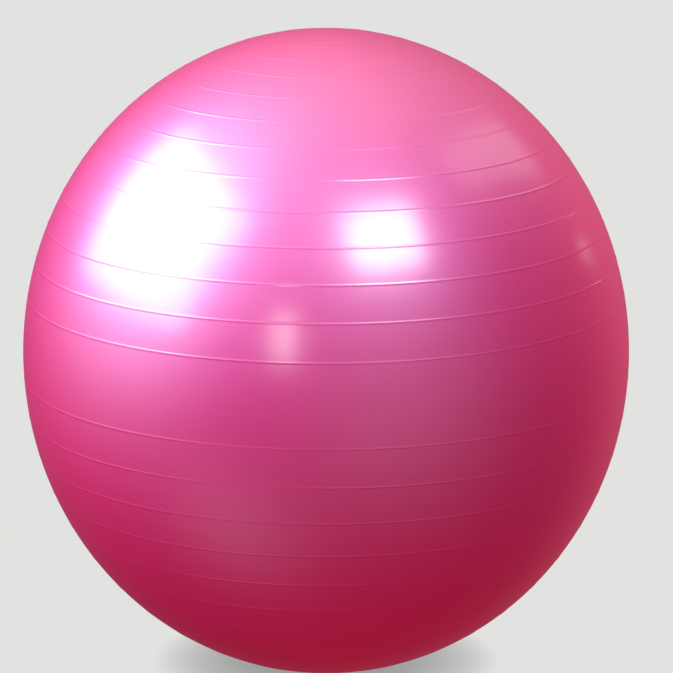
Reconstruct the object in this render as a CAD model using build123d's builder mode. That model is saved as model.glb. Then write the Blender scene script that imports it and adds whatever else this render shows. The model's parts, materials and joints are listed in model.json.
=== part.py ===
from build123d import *
from math import atan2, cos, radians, sin, sqrt
import os

# Exercise ball: an inflated skin of soft PVC, the valve seat fused into it, and the plug that closes it.
# Millimetres and degrees. The ball stands on the XY plane with its ribs level, and the valve faces +Y.

# ---- driving dimensions ----------------------------------------------------------------------------
ball_height = 650.0  # pole to pole when inflated, without the ribs
ball_width = 608.0  # across the widest circle, without the ribs
skin_wall = 0.9

ribs_per_half = 12
band_top_latitude = 11.0  # the first rib above the smooth band
band_bottom_latitude = -3.5  # the first rib below it
rib_gap_above = 6.5  # from the first rib above the band to the next
rib_gap_below = 6.9  # from the first rib below the band to the next
rib_gap_ratio = 0.99  # each gap against the one before it, towards either pole
rib_width = 2.8  # where the rib leaves the skin
rib_height = 0.4

head_radius = 6.5  # the plug's flat head
head_thickness = 1.8
head_edge = 0.5
head_sink = 0.3  # the head lies this far under the skin, so the ball rolls over it
stem_root_radius = 4.3  # next to the head
stem_tip_radius = 3.5
stem_length = 22.0
tip_edge = 0.6
ring_count = 3
ring_height = 0.25  # how far a ring stands out of the stem
ring_width = 1.2
ring_pitch = 4.5
first_ring_depth = 7.0  # from the underside of the head

plug_clearance = 0.05  # between the plug and its seat, all round and under the head
puller_gap = 1.2  # beside the head, for the tool that lifts it
collar_wall = 2.2  # the seat's ring around the head
collar_floor = 1.8  # under the head
sleeve_wall = 2.4  # around the stem
sleeve_past_tip = 1.5
flange_width = 7.0  # the lip fused to the inside of the skin, beyond the collar
flange_thickness = 1.6

# ---- the outline of the ball -----------------------------------------------------------------------
widest = ball_width / 2
pole = ball_height / 2
centre = (0, pole)


def outline_point(latitude):
    """Distance from the ball's axis, and height over its lowest point."""
    return widest * cos(radians(latitude)), pole + pole * sin(radians(latitude))


def outline_slope(latitude):
    """The angle, in radians, by which the skin's outward direction rises over the horizontal."""
    return atan2(sin(radians(latitude)) / pole, cos(radians(latitude)) / widest)


def rib_latitudes():
    latitudes = []
    for k in range(ribs_per_half):
        gaps = sum(rib_gap_ratio**i for i in range(k))
        latitudes.append(band_top_latitude + rib_gap_above * gaps)
        latitudes.append(band_bottom_latitude - rib_gap_below * gaps)
    return latitudes


def half_outline(inset):
    """The outline of half the ball's section, this far inside the surface, closed along the ball's axis.

    Its two arcs meet below the smooth band, clear of the valve's hole. Each is drawn from its own pole.
    """
    radii = widest - inset, pole - inset
    with BuildLine() as outline:
        EllipticalCenterArc(centre, *radii, -90, arc_size=90 + band_bottom_latitude)
        EllipticalCenterArc(centre, *radii, 90, arc_size=band_bottom_latitude - 90)
        Line((0, ball_height - inset), (0, inset))
    return outline.edges()


def solid_form(inset):
    """The ball as a plain solid, this far inside its surface."""
    with BuildPart() as form:
        with BuildSketch(Plane.XZ):
            make_face(half_outline(inset))
        revolve(axis=Axis.Z)
    return form.part


outer_form = solid_form(0)
inner_form = solid_form(skin_wall)

# ---- where the valve stands: the middle of the smooth band, square to the skin ------------------------
valve_latitude = (band_top_latitude + band_bottom_latitude) / 2
valve_reach, valve_rise = outline_point(valve_latitude)
valve_slope = outline_slope(valve_latitude)
valve_point = Vector(0, valve_reach, valve_rise)
outward = Vector(0, cos(valve_slope), sin(valve_slope))
valve_axis = Axis(valve_point, outward)
valve_face = Plane(origin=valve_point, x_dir=(1, 0, 0), z_dir=outward)
# In this half-section X is the distance from the valve's axis, and Y is minus the depth under the skin.
valve_section = Plane(origin=valve_point, x_dir=(1, 0, 0), z_dir=Vector(1, 0, 0).cross(outward))

# Depths under the skin's surface, along the valve's axis.
head_underside = head_sink + head_thickness
tip_depth = head_underside + stem_length
recess_depth = head_underside + plug_clearance
collar_depth = recess_depth + collar_floor
sleeve_depth = tip_depth + sleeve_past_tip
# Radii about the valve's axis.
recess_radius = head_radius + puller_gap
collar_radius = recess_radius + collar_wall
flange_radius = collar_radius + flange_width
# The skin curves away from the flange by this much at its rim.
flange_fall = widest - sqrt(widest**2 - flange_radius**2)
flange_depth = skin_wall + flange_fall + flange_thickness


def stem_radius(depth):
    """The tapered stem without its rings."""
    taper = (stem_root_radius - stem_tip_radius) / stem_length
    return stem_root_radius - taper * (depth - head_underside)


def bore_radius(depth):
    """The bore narrows as the stem does, and clears its rings."""
    return stem_radius(depth) + ring_height + plug_clearance


# ---- the skin: one moulded shell, with its ribs standing out and its inside smooth -----------------------
# A rib is the outer part of a round bead whose centre lies under the skin's surface.
bead_radius = (rib_width**2 / 4 + rib_height**2) / (2 * rib_height)
bead_sink = bead_radius - rib_height

with BuildPart() as ball_skin:
    with BuildSketch(Plane.XZ):
        make_face(half_outline(0))
        for latitude in rib_latitudes():
            reach, rise = outline_point(latitude)
            slope = outline_slope(latitude)
            with Locations((reach - bead_sink * cos(slope), rise - bead_sink * sin(slope))):
                Circle(bead_radius)
    revolve(axis=Axis.Z)
    add(inner_form, mode=Mode.SUBTRACT)
    with BuildSketch(valve_face.offset(-flange_depth)):
        Circle(collar_radius)
    extrude(amount=2 * flange_depth, mode=Mode.SUBTRACT)
ball_skin.part.label = "ball_skin"

# ---- the valve seat: a collar in the skin's hole, a flange fused under the skin, and a sleeve inwards ------
with BuildPart() as seat_flange:
    with BuildSketch(valve_face.offset(-flange_depth)):
        Circle(flange_radius)
    extrude(amount=flange_depth)
    add(inner_form, mode=Mode.INTERSECT)

with BuildPart() as valve_seat:
    with BuildSketch(valve_face.offset(-collar_depth)):
        Circle(collar_radius)
    extrude(amount=2 * collar_depth)
    add(outer_form, mode=Mode.INTERSECT)
    add(seat_flange.part)
    with BuildSketch(valve_section):
        with BuildLine():
            Polyline(
                (0, -recess_depth),
                (bore_radius(recess_depth) + sleeve_wall, -recess_depth),
                (bore_radius(sleeve_depth) + sleeve_wall, -sleeve_depth),
                (0, -sleeve_depth),
                close=True,
            )
        make_face()
    revolve(axis=valve_axis)
    # The recess for the head, and the tapered bore right through the sleeve.
    with BuildSketch(valve_section):
        with BuildLine():
            Polyline(
                (0, collar_depth),
                (recess_radius, collar_depth),
                (recess_radius, -recess_depth),
                (bore_radius(recess_depth), -recess_depth),
                (bore_radius(sleeve_depth), -sleeve_depth),
                (0, -sleeve_depth),
                close=True,
            )
        make_face()
    revolve(axis=valve_axis, mode=Mode.SUBTRACT)
valve_seat.part.label = "valve_seat"

# ---- the plug: a flat head and a tapered stem with rings ----------------------------------------------------
with BuildPart() as plug:
    with BuildSketch(valve_section) as plug_profile:
        with BuildLine():
            Polyline(
                (0, -head_sink),
                (head_radius, -head_sink),
                (head_radius, -head_underside),
                (stem_root_radius, -head_underside),
                (stem_tip_radius, -tip_depth),
                (0, -tip_depth),
                close=True,
            )
        make_face()
        levels = plug_profile.vertices().group_by(Axis.Y)
        fillet(levels[-1].sort_by(Axis.X)[-1], head_edge)
        chamfer(levels[0].sort_by(Axis.X)[-1], tip_edge)
        for n in range(ring_count):
            depth = head_underside + first_ring_depth + n * ring_pitch
            with Locations((stem_radius(depth), -depth)):
                Ellipse(ring_height, ring_width / 2)
    revolve(axis=valve_axis)
plug.part.label = "plug"

# ---- files ----------------------------------------------------------------------------------------------
os.makedirs("parts", exist_ok=True)
export_step(ball_skin.part, "parts/ball_skin.step")
export_step(valve_seat.part, "parts/valve_seat.step")
export_step(plug.part, "parts/plug.step")

print("the valve's face is at", tuple(valve_point), "and looks along", tuple(outward))
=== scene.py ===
import json
from math import cos, pi, radians, sin

import bmesh
import bpy
from mathutils import Matrix, Vector


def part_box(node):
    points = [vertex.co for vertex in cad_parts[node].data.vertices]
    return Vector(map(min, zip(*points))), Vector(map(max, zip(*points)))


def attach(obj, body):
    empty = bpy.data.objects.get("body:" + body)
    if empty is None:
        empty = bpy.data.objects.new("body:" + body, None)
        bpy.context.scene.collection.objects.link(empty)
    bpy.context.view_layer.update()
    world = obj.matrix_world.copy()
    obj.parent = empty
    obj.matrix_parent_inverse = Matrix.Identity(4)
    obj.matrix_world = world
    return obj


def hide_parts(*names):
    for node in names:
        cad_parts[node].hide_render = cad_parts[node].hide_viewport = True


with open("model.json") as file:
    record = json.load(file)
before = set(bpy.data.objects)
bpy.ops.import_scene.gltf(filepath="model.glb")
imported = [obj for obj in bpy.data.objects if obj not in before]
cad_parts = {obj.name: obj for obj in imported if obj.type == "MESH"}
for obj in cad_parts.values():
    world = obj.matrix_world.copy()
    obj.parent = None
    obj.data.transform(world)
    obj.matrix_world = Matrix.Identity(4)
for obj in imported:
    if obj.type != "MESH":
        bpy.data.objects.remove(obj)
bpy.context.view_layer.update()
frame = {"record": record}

# ---- the skin --------------------------------------------------------------------------------------
# One seamless hollow moulding of soft glossy PVC, blown up tight. Ribs are moulded round it in level
# rings above and below a smooth band, and its inside is smooth. The valve stands in a hole in the band.

skin_low, skin_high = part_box("ball_skin")
first_rib_above = 11.0  # latitudes in degrees
first_rib_below = -3.5
rib_gap_above = 6.5
rib_gap_below = 6.9
rib_gap_ratio = 0.99
ribs_per_half = 12
rib_height = 0.0002
rib_half_width = 0.0016
skin_wall = 0.0009

pole_radius = (skin_high.z - skin_low.z) / 2
widest_radius = skin_high.x

valve_mount = next(m for m in frame["record"]["mounts"] if m["name"] == "inflation_valve")
valve_point = Vector(valve_mount["pos_m"])
outward = Vector(valve_mount["axis"]).normalized()
valve_turn = outward.to_track_quat("Z", "Y")
collar_radius = 0.0099
flange_radius = 0.0169


def put(tree, kind, inputs=(), **settings):
    """A node, with values or other nodes' sockets put into its inputs."""
    made = tree.nodes.new(kind)
    for key, value in settings.items():
        setattr(made, key, value)
    for key, value in dict(inputs).items():
        if isinstance(value, bpy.types.NodeSocket):
            tree.links.new(value, made.inputs[key])
        else:
            made.inputs[key].default_value = value
    return made


class Recipe:
    """A tree of geometry nodes while it is being put together."""

    def __init__(self, name, inputs):
        self.tree = bpy.data.node_groups.new(name, "GeometryNodeTree")
        self.values = {}
        for title, (kind, value) in inputs.items():
            socket = self.tree.interface.new_socket(title, in_out="INPUT", socket_type=kind)
            self.values[socket.identifier] = value
        self.tree.interface.new_socket("Mesh", in_out="OUTPUT", socket_type="NodeSocketGeometry")
        self.given = self.tree.nodes.new("NodeGroupInput").outputs

    def node(self, kind, inputs=(), **settings):
        return put(self.tree, kind, inputs, **settings)

    def maths(self, operation, *values):
        return self.node("ShaderNodeMath", enumerate(values), operation=operation).outputs[0]

    def mesh(self, name, geometry):
        """The recipe's result as a plain mesh, in an object of that name."""
        self.tree.links.new(geometry, self.node("NodeGroupOutput").inputs["Mesh"])
        piece = bpy.data.objects.new(name, bpy.data.meshes.new(name))
        bpy.context.scene.collection.objects.link(piece)
        modifier = piece.modifiers.new(name, "NODES")
        modifier.node_group = self.tree
        for identifier, value in self.values.items():
            modifier[identifier] = value
        evaluated = piece.evaluated_get(bpy.context.evaluated_depsgraph_get())
        made = bpy.data.meshes.new_from_object(evaluated)
        paint = next(m for m in made.materials if m)
        made.materials.clear()
        made.materials.append(paint)
        made.polygons.foreach_set("material_index", [0] * len(made.polygons))
        piece.modifiers.remove(modifier)
        piece.data = made
        made.name = name
        return piece


def half_of_the_skin(recipe, side, first, gap):
    """The skin from the middle of the band to one pole. Rows of points crowd together where a rib stands."""
    m, given = recipe.maths, recipe.given
    ratio, pole, widest = given["Gap ratio"], given["Pole radius"], given["Widest radius"]
    less = m("SUBTRACT", 1.0, ratio)

    def rib_number(latitude):
        shrunk = m("DIVIDE", m("MULTIPLY", m("SUBTRACT", latitude, first), less), gap)
        return m("LOGARITHM", m("SUBTRACT", 1.0, shrunk), ratio)

    def latitude_at(number):
        gaps = m("DIVIDE", m("SUBTRACT", 1.0, m("POWER", ratio, number)), less)
        return m("ADD", first, m("MULTIPLY", gap, gaps))

    between = m("ADD", given["First rib above"], given["First rib below"])
    start = rib_number(m("MULTIPLY", between, 0.5 * side))
    end = rib_number(90.0)
    sheet = recipe.node("GeometryNodeMeshGrid", {
        "Size X": 1.0, "Size Y": 1.0, "Vertices X": given["Columns"], "Vertices Y": given["Rows"],
    })
    spot = recipe.node("GeometryNodeInputPosition").outputs[0]
    spot = recipe.node("ShaderNodeSeparateXYZ", {"Vector": spot}).outputs
    turn = m("MULTIPLY", m("ADD", spot["X"], 0.5), 2 * pi)
    along = m("ADD", start, m("MULTIPLY", m("ADD", spot["Y"], 0.5), m("SUBTRACT", end, start)))

    # Each rib has a cell of rows, half a gap to either side. 60% of them stand on the rib itself:
    # the rows up to rows_on_rib from its middle are drawn in to rib_reach, both in gaps.
    rows_on_rib, rib_reach = 0.3, 0.065
    rib = m("ROUND", along)
    off = m("SUBTRACT", along, rib)
    middle_rib = m("DIVIDE", m("SUBTRACT", given["Ribs"], 1.0), 2.0)
    ribbed = m("COMPARE", rib, middle_rib, m("ADD", middle_rib, 0.1))
    far_off = m("ABSOLUTE", off)
    near = m("MULTIPLY", far_off, rib_reach / rows_on_rib)
    stretch = (0.5 - rib_reach) / (0.5 - rows_on_rib)
    far = m("ADD", rib_reach, m("MULTIPLY", m("SUBTRACT", far_off, rows_on_rib), stretch))
    crowded = m("MULTIPLY", m("SIGN", off), m("MAXIMUM", near, far))
    moved = m("ADD", m("MULTIPLY", crowded, ribbed), m("MULTIPLY", off, m("SUBTRACT", 1.0, ribbed)))
    latitude = m("RADIANS", latitude_at(m("ADD", rib, moved)))
    rib_latitude = m("RADIANS", latitude_at(rib))

    # A rib is a soft wave, as high as stated over its middle and level where it meets the skin.
    up, out = m("SINE", latitude), m("COSINE", latitude)
    pace_out, pace_up = m("MULTIPLY", widest, up), m("MULTIPLY", pole, out)
    pace = m("SQRT", m("ADD", m("POWER", pace_out, 2.0), m("POWER", pace_up, 2.0)))
    away = m("MULTIPLY", m("ABSOLUTE", m("SUBTRACT", latitude, rib_latitude)), pace)
    wave = m("COSINE", m("MULTIPLY", m("MINIMUM", m("DIVIDE", away, given["Rib half width"]), 1.0), pi))
    rib_share = m("MULTIPLY", m("ADD", wave, 1.0), 0.5)
    height = m("MULTIPLY", m("MULTIPLY", given["Rib height"], ribbed), rib_share)

    lean_out, lean_up = m("DIVIDE", out, widest), m("DIVIDE", up, pole)
    lean = m("SQRT", m("ADD", m("POWER", lean_out, 2.0), m("POWER", lean_up, 2.0)))
    reach = m("ADD", m("MULTIPLY", widest, out), m("MULTIPLY", height, m("DIVIDE", lean_out, lean)))
    rise = m("ADD", m("MULTIPLY", pole, up), m("MULTIPLY", height, m("DIVIDE", lean_up, lean)))
    point = recipe.node("ShaderNodeCombineXYZ", {
        "X": m("MULTIPLY", reach, m("COSINE", turn)),
        "Y": m("MULTIPLY", reach, m("SINE", turn)),
        "Z": m("ADD", pole, m("MULTIPLY", rise, side)),
    }).outputs[0]
    half = recipe.node("GeometryNodeSetPosition", {"Geometry": sheet.outputs["Mesh"], "Position": point})
    if side < 0:
        half = recipe.node("GeometryNodeFlipFaces", {"Mesh": half.outputs[0]})
    return half.outputs[0]


skin_pvc = bpy.data.materials.new("pearl_pvc")
skin_pvc.use_nodes = True
tree = skin_pvc.node_tree
shader = tree.nodes["Principled BSDF"]
for title, value in {
    "Roughness": 0.55,
    "IOR": 2.0,
    "Specular IOR Level": 1.0,
    "Specular Tint": (0.5, 0.05, 1.0, 1),
    "Coat Weight": 1.0,
    "Coat Roughness": 0.25,
    "Coat IOR": 2.2,
}.items():
    shader.inputs[title].default_value = value

place = put(tree, "ShaderNodeTexCoord").outputs["Object"]
# Over the valve's lip the sheet is double: a little darker, and raised by a hair with a soft edge.
from_valve = put(tree, "ShaderNodeVectorMath", {0: place, 1: tuple(valve_point)}, operation="DISTANCE")
over_lip = put(tree, "ShaderNodeMapRange", {
    "Value": from_valve.outputs["Value"],
    "From Min": flange_radius + 0.001,
    "From Max": flange_radius - 0.001,
}, interpolation_type="SMOOTHSTEP").outputs[0]
cloud = put(tree, "ShaderNodeTexNoise", {"Vector": place, "Scale": 5.0, "Detail": 2.0}).outputs[0]
pinks = put(tree, "ShaderNodeMix", {
    0: cloud, 6: (0.50, 0.002, 0.033, 1), 7: (0.54, 0.0025, 0.036, 1),
}, data_type="RGBA").outputs[2]
pinks = put(tree, "ShaderNodeMix", {
    0: over_lip, 6: pinks, 7: (0.42, 0.002, 0.032, 1),
}, data_type="RGBA").outputs[2]
tree.links.new(pinks, shader.inputs["Base Color"])

# The blown skin is never quite round: slow waves a fraction of a millimetre high, and a faint grain.
waves = put(tree, "ShaderNodeTexNoise", {"Vector": place, "Scale": 9.0, "Detail": 1.0}).outputs[0]
grain = put(tree, "ShaderNodeTexNoise", {"Vector": place, "Scale": 500.0, "Detail": 1.0}).outputs[0]
height = put(tree, "ShaderNodeMath", {0: waves, 1: 0.0008}, operation="MULTIPLY").outputs[0]
height = put(tree, "ShaderNodeMath", {0: grain, 1: 0.000004, 2: height}, operation="MULTIPLY_ADD").outputs[0]
height = put(tree, "ShaderNodeMath", {0: over_lip, 1: 0.0001, 2: height}, operation="MULTIPLY_ADD").outputs[0]
bump = put(tree, "ShaderNodeBump", {"Height": height, "Distance": 1.0}).outputs[0]
tree.links.new(bump, shader.inputs["Normal"])
tree.links.new(bump, shader.inputs["Coat Normal"])

skin_recipe = Recipe("ribbed_skin", {
    "Widest radius": ("NodeSocketFloat", widest_radius),
    "Pole radius": ("NodeSocketFloat", pole_radius),
    "Wall": ("NodeSocketFloat", skin_wall),
    "First rib above": ("NodeSocketFloat", first_rib_above),
    "First rib below": ("NodeSocketFloat", first_rib_below),
    "Gap above": ("NodeSocketFloat", rib_gap_above),
    "Gap below": ("NodeSocketFloat", rib_gap_below),
    "Gap ratio": ("NodeSocketFloat", rib_gap_ratio),
    "Ribs": ("NodeSocketFloat", float(ribs_per_half)),
    "Rib height": ("NodeSocketFloat", rib_height),
    "Rib half width": ("NodeSocketFloat", rib_half_width),
    "Rows": ("NodeSocketInt", 225),
    "Columns": ("NodeSocketInt", 161),
    "Valve point": ("NodeSocketVector", tuple(valve_point)),
    "Valve turn": ("NodeSocketVector", tuple(valve_turn.to_euler())),
    "Valve hole radius": ("NodeSocketFloat", collar_radius),
    "Material": ("NodeSocketMaterial", skin_pvc),
})
given, m = skin_recipe.given, skin_recipe.maths
upper = half_of_the_skin(skin_recipe, 1, given["First rib above"], given["Gap above"])
lower = half_of_the_skin(skin_recipe, -1, m("MULTIPLY", given["First rib below"], -1.0), given["Gap below"])
joined = skin_recipe.node("GeometryNodeJoinGeometry")
for half in (lower, upper):
    skin_recipe.tree.links.new(half, joined.inputs[0])
outside = skin_recipe.node("GeometryNodeMergeByDistance", {
    "Geometry": joined.outputs[0], "Distance": 0.00001,
})

inner_widest = m("SUBTRACT", given["Widest radius"], given["Wall"])
inner_pole = m("SUBTRACT", given["Pole radius"], given["Wall"])
inner_size = {"X": inner_widest, "Y": inner_widest, "Z": inner_pole}
ball = skin_recipe.node("GeometryNodeMeshUVSphere", {"Segments": 96, "Rings": 48, "Radius": 1.0})
inside = skin_recipe.node("GeometryNodeTransform", {
    "Geometry": ball.outputs["Mesh"],
    "Translation": skin_recipe.node("ShaderNodeCombineXYZ", {"Z": given["Pole radius"]}).outputs[0],
    "Scale": skin_recipe.node("ShaderNodeCombineXYZ", inner_size).outputs[0],
})
inside = skin_recipe.node("GeometryNodeFlipFaces", {"Mesh": inside.outputs[0]})
shell = skin_recipe.node("GeometryNodeJoinGeometry")
for surface in (inside, outside):
    skin_recipe.tree.links.new(surface.outputs[0], shell.inputs[0])

rod = skin_recipe.node("GeometryNodeMeshCylinder", {
    "Vertices": 64, "Radius": given["Valve hole radius"], "Depth": 0.02,
})
rod = skin_recipe.node("GeometryNodeTransform", {
    "Geometry": rod.outputs["Mesh"], "Translation": given["Valve point"], "Rotation": given["Valve turn"],
})
holed = skin_recipe.node("GeometryNodeMeshBoolean", {
    "Mesh 1": shell.outputs[0], "Mesh 2": rod.outputs[0],
}, operation="DIFFERENCE", solver="EXACT")
smooth = skin_recipe.node("GeometryNodeSetShadeSmooth", {
    "Geometry": holed.outputs["Mesh"], "Shade Smooth": True,
})
bend = skin_recipe.node("GeometryNodeInputMeshEdgeAngle").outputs["Unsigned Angle"]
smooth = skin_recipe.node("GeometryNodeSetShadeSmooth", {
    "Geometry": smooth.outputs[0], "Selection": m("GREATER_THAN", bend, radians(45)), "Shade Smooth": False,
}, domain="EDGE")
real = skin_recipe.node("GeometryNodeRealizeInstances", {"Geometry": smooth.outputs[0]})
painted = skin_recipe.node("GeometryNodeSetMaterial", {
    "Geometry": real.outputs[0], "Material": given["Material"],
})
skin = skin_recipe.mesh("skin", painted.outputs[0])
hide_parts("ball_skin")
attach(skin, "ball")

# ---- the valve seat ----------------------------------------------------------------------------------
# A turned ring of the same soft PVC, moulded apart and fused in: its collar fills the skin's hole, its
# lip lies under the skin, and a sleeve runs inwards round the stem. Its face follows the skin's curve.

recess_radius = 0.0077
recess_depth = 0.00215
collar_depth = 0.00395
flange_depth = 0.00297
sleeve_depth = 0.0256
sleeve_wall = 0.0024
bore_mouth_radius = 0.0046
bore_end_radius = 0.00375


def fall(radius):
    """How far the skin has curved away at this distance from the valve's axis."""
    return radius**2 / (2 * pole_radius)


def eased(corners, steps=4):
    """An outline from (radius, height, rounding) corners, with each corner rounded off by that much."""
    outline = []
    for n, (radius, height, rounding) in enumerate(corners):
        here = Vector((radius, height))
        if rounding == 0:
            outline.append(here)
            continue
        before = Vector(corners[n - 1][:2])
        after = Vector(corners[(n + 1) % len(corners)][:2])
        start = here + (before - here).normalized() * rounding
        end = here + (after - here).normalized() * rounding
        for step in range(steps + 1):
            t = step / steps
            outline.append(start * (1 - t) ** 2 + here * 2 * t * (1 - t) + end * t**2)
    return outline


def turned(name, outline, closed, paint, segments=96):
    """The outline turned round the valve's axis. Its points run so that the solid lies to their left."""
    form = bmesh.new()
    rings = []
    for radius, height in outline:
        count = 1 if radius == 0 else segments
        angles = [2 * pi * n / segments for n in range(count)]
        rings.append([form.verts.new((radius * cos(a), radius * sin(a), height)) for a in angles])
    pairs = list(zip(rings, rings[1:]))
    if closed:
        pairs.append((rings[-1], rings[0]))
    for one, two in pairs:
        for n in range(segments):
            k = (n + 1) % segments
            if len(one) == 1:
                form.faces.new((one[0], two[k], two[n]))
            elif len(two) == 1:
                form.faces.new((one[n], one[k], two[0]))
            else:
                form.faces.new((one[n], one[k], two[k], two[n]))
    bmesh.ops.recalc_face_normals(form, faces=form.faces)
    made = bpy.data.meshes.new(name)
    form.to_mesh(made)
    form.free()
    made.transform(Matrix.Translation(valve_point) @ valve_turn.to_matrix().to_4x4())
    made.polygons.foreach_set("use_smooth", [True] * len(made.polygons))
    made.set_sharp_from_angle(angle=radians(40))
    made.materials.append(paint)
    piece = bpy.data.objects.new(name, made)
    bpy.context.scene.collection.objects.link(piece)
    return piece


seat_pvc = bpy.data.materials.new("valve_pvc")
seat_pvc.use_nodes = True
shader = seat_pvc.node_tree.nodes["Principled BSDF"]
for title, value in {
    "Base Color": (0.55, 0.006, 0.06, 1),
    "Roughness": 0.38,
    "Coat Weight": 0.4,
    "Coat Roughness": 0.2,
}.items():
    shader.inputs[title].default_value = value

seat_outline = eased([
    (bore_end_radius, -sleeve_depth, 0.0004),
    (bore_mouth_radius, -recess_depth, 0.0004),
    (recess_radius, -recess_depth, 0.0004),
    (recess_radius, -fall(recess_radius), 0.00035),
    (collar_radius, -fall(collar_radius), 0.00025),
    (collar_radius, -skin_wall - fall(collar_radius) - 0.0002, 0),
    (flange_radius, -skin_wall - fall(flange_radius) - 0.0002, 0),
    (flange_radius, -flange_depth, 0.0003),
    (collar_radius, -flange_depth, 0.0003),
    (collar_radius, -collar_depth, 0.0005),
    (bore_mouth_radius + sleeve_wall, -collar_depth, 0.0003),
    (bore_end_radius + sleeve_wall, -sleeve_depth, 0.0006),
])
seat = turned("valve_seat", seat_outline, True, seat_pvc)
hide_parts("valve_seat")
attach(seat, "ball")

# ---- the plug ----------------------------------------------------------------------------------------
# One moulding of stiff white plastic: a flat head that sits sunk in the seat's recess, and a tapered
# stem whose three low rings grip the bore. It is pushed in by hand and drawn straight out.

head_radius = 0.0065
head_sink = 0.0003
head_underside = 0.0021
head_edge = 0.0005
stem_root_radius = 0.0043
stem_tip_radius = 0.0035
tip_depth = 0.0241
tip_edge = 0.0006
ring_height = 0.00025
ring_half_width = 0.0006
ring_pitch = 0.0045
first_ring_depth = 0.007
gate_radius = 0.0011
gate_depth = 0.0002

plug_plastic = bpy.data.materials.new("white_plastic")
plug_plastic.use_nodes = True
shader = plug_plastic.node_tree.nodes["Principled BSDF"]
for title, value in {
    "Base Color": (0.82, 0.82, 0.80, 1),
    "Roughness": 0.32,
    "IOR": 1.5,
    "Subsurface Weight": 0.15,
    "Subsurface Radius": (0.002, 0.002, 0.0018),
    "Subsurface Scale": 1.0,
}.items():
    shader.inputs[title].default_value = value


def stem_radius(depth):
    taper = (stem_root_radius - stem_tip_radius) / (tip_depth - head_underside)
    return stem_root_radius - taper * (depth - head_underside)


plug_outline = [Vector((0, -head_sink - gate_depth))]
plug_outline += eased([
    (gate_radius * 0.8, -head_sink - gate_depth, 0.0001),
    (gate_radius, -head_sink, 0.0001),
    (head_radius, -head_sink, head_edge),
    (head_radius, -head_underside, 0.0002),
    (stem_root_radius, -head_underside, 0.0002),
    (stem_tip_radius, -tip_depth, 0),
])[:-1]
for ring in range(3):
    depth = head_underside + first_ring_depth + ring * ring_pitch
    for step in range(13):
        turn = pi * step / 12
        place = depth - ring_half_width * cos(turn)
        plug_outline.append(Vector((stem_radius(place) + ring_height * sin(turn), -place)))
plug_outline += [
    Vector((stem_radius(tip_depth - tip_edge), -tip_depth + tip_edge)),
    Vector((stem_tip_radius - tip_edge, -tip_depth)),
    Vector((0, -tip_depth)),
]
plug = turned("plug", plug_outline, False, plug_plastic)
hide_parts("plug")
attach(plug, "plug")

# ---- the floor ---------------------------------------------------------------------------------------
# A plain pale sweep that the ball stands on. It glows evenly, so it looks the same from everywhere, with
# a soft shade where the ball keeps light off it. It throws no light on the ball, and isn't seen from below.

pale = (0.76, 0.76, 0.745, 1)
shade = (0.30, 0.30, 0.30, 1)
shade_reach = 0.05

bpy.ops.mesh.primitive_plane_add(size=60)
floor = bpy.context.object
floor.name = "floor"
for kind in ("diffuse", "glossy", "transmission"):
    setattr(floor, "visible_" + kind, False)
floor_paint = bpy.data.materials.new("floor_paint")
floor_paint.use_nodes = True
tree = floor_paint.node_tree
tree.nodes.clear()
open_to_light = put(tree, "ShaderNodeAmbientOcclusion", {"Distance": shade_reach}).outputs["AO"]
tone = put(tree, "ShaderNodeMix", {0: open_to_light, 6: shade, 7: pale}, data_type="RGBA").outputs[2]
glow = put(tree, "ShaderNodeEmission", {"Color": tone})
from_under = put(tree, "ShaderNodeNewGeometry").outputs["Backfacing"]
unseen = put(tree, "ShaderNodeBsdfTransparent")
mixed = put(tree, "ShaderNodeMixShader", {0: from_under, 1: glow.outputs[0], 2: unseen.outputs[0]})
put(tree, "ShaderNodeOutputMaterial", {"Surface": mixed.outputs[0]})
floor.data.materials.append(floor_paint)

# ---- the lamps ---------------------------------------------------------------------------------------
# White softboxes that face the ball's middle. A big one high on the left and a small one above the front
# give the two broad highlights. Two faint ones give small glints, and a long faint one a streak at the right.

middle = Vector((0, 0, pole_radius))


def lamp(name, towards, away, width, height, watts, turn=0.0):
    data = bpy.data.lights.new(name, "AREA")
    data.shape, data.size, data.size_y = "RECTANGLE", width, height
    data.energy = watts
    towards = Vector(towards).normalized()
    made = bpy.data.objects.new(name, data)
    made.location = middle + towards * away
    aimed = towards.to_track_quat("Z", "Y")
    made.rotation_euler = (aimed @ Matrix.Rotation(radians(turn), 4, "Z").to_quaternion()).to_euler()
    bpy.context.scene.collection.objects.link(made)


lamp("big_softbox", (-0.81, -0.13, 0.57), 1.8, 1.9, 1.4, 36)
lamp("small_softbox", (0.32, -0.63, 0.70), 1.8, 0.75, 0.6, 11)
lamp("front_glint", (-0.25, -0.93, 0.25), 2.0, 0.25, 0.5, 1.9)
lamp("right_glint", (0.83, 0.53, 0.16), 2.0, 0.06, 0.06, 0.12)
lamp("upper_right_panel", (0.68, 0.27, 0.68), 2.0, 1.5, 0.5, 1.8, turn=-35)

# ---- the room ----------------------------------------------------------------------------------------
# What the ball mirrors besides the lamps: soft glows on a dark room. Five are nearly white. Two are deep
# pink and stand for the ball's own colour thrown back at it. Seen straight on, the room is plain and pale.

world = bpy.data.worlds.new("studio")
bpy.context.scene.world = world
world.use_nodes = True
tree = world.node_tree
tree.nodes.clear()
look = put(tree, "ShaderNodeTexCoord").outputs["Generated"]
total = None
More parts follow.
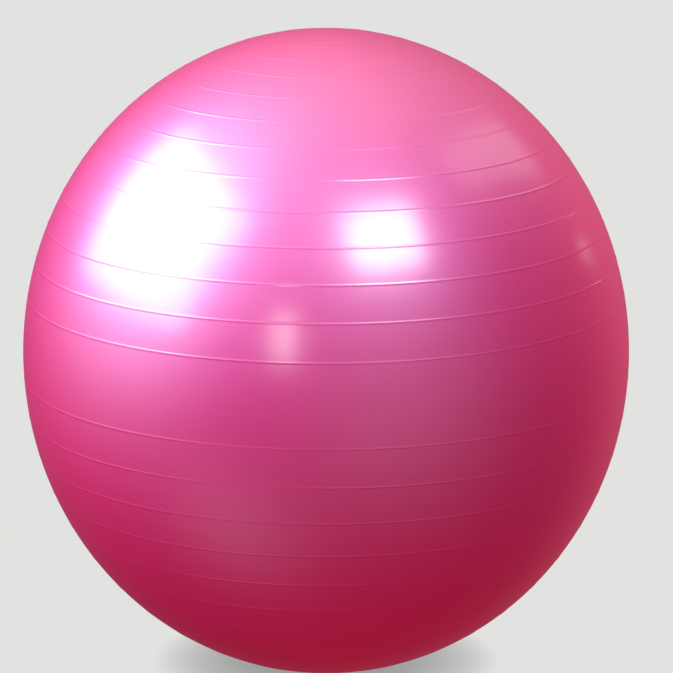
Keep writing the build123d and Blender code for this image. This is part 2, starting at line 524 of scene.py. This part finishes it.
# Each glow: where it stands, how tight it is, and its colour.
for towards, tight, colour in (
    ((-0.8, -0.1, 0.55), 6, (3.6, 4.4, 4.4)),     # spill of the big softbox
    ((0.3, -0.65, 0.7), 14, (1.4, 1.6, 1.6)),     # spill of the small softbox
    ((0.0, 0.2, 1.0), 3, (1.2, 1.4, 1.3)),        # the ceiling
    ((0.4, -0.9, 0.0), 4, (0.35, 0.45, 0.45)),    # the room in front
    ((-0.5, -0.5, -0.7), 14, (0.3, 0.35, 0.4)),   # the floor, lit by the big softbox
    ((0.6, 0.75, 0.0), 5, (0.85, 0.1, 0.2)),      # the ball's own colour off a wall
    ((0.0, 0.0, -1.0), 2.5, (0.7, 0.02, 0.05)),   # the ball's own colour off the floor
):
    towards = tuple(Vector(towards).normalized())
    near = put(tree, "ShaderNodeVectorMath", {0: look, 1: towards}, operation="DOT_PRODUCT")
    near = near.outputs["Value"]
    near = put(tree, "ShaderNodeMath", {0: near, 1: tight, 2: -tight}, operation="MULTIPLY_ADD").outputs[0]
    near = put(tree, "ShaderNodeMath", {0: near}, operation="EXPONENT").outputs[0]
    part = put(tree, "ShaderNodeVectorMath", {0: colour, "Scale": near}, operation="SCALE").outputs[0]
    if total is None:
        total = part
    else:
        total = put(tree, "ShaderNodeVectorMath", {0: total, 1: part}).outputs[0]
studio = put(tree, "ShaderNodeBackground", {"Color": total})
plain = put(tree, "ShaderNodeBackground", {"Color": pale})
seen = put(tree, "ShaderNodeLightPath").outputs["Is Camera Ray"]
mixed = put(tree, "ShaderNodeMixShader", {0: seen, 1: studio.outputs[0], 2: plain.outputs[0]})
put(tree, "ShaderNodeOutputWorld", {"Surface": mixed.outputs[0]})

# ---- the camera --------------------------------------------------------------------------------------
# It stands in front of the ball and a little above it, with a long lens, and looks down at its middle.

camera = bpy.data.objects.new("camera", bpy.data.cameras.new("camera"))
camera.data.lens = 218
camera.data.sensor_width = 36
elevation, distance = radians(13.94), 4.10
camera.location = middle + distance * Vector((0, -cos(elevation), sin(elevation)))
aim = middle + Vector((0.0104, 0, 0.0152))
camera.rotation_euler = (camera.location - aim).to_track_quat("Z", "Y").to_euler()
bpy.context.scene.collection.objects.link(camera)
bpy.context.scene.camera = camera
bpy.context.scene.view_settings.view_transform = "Standard"
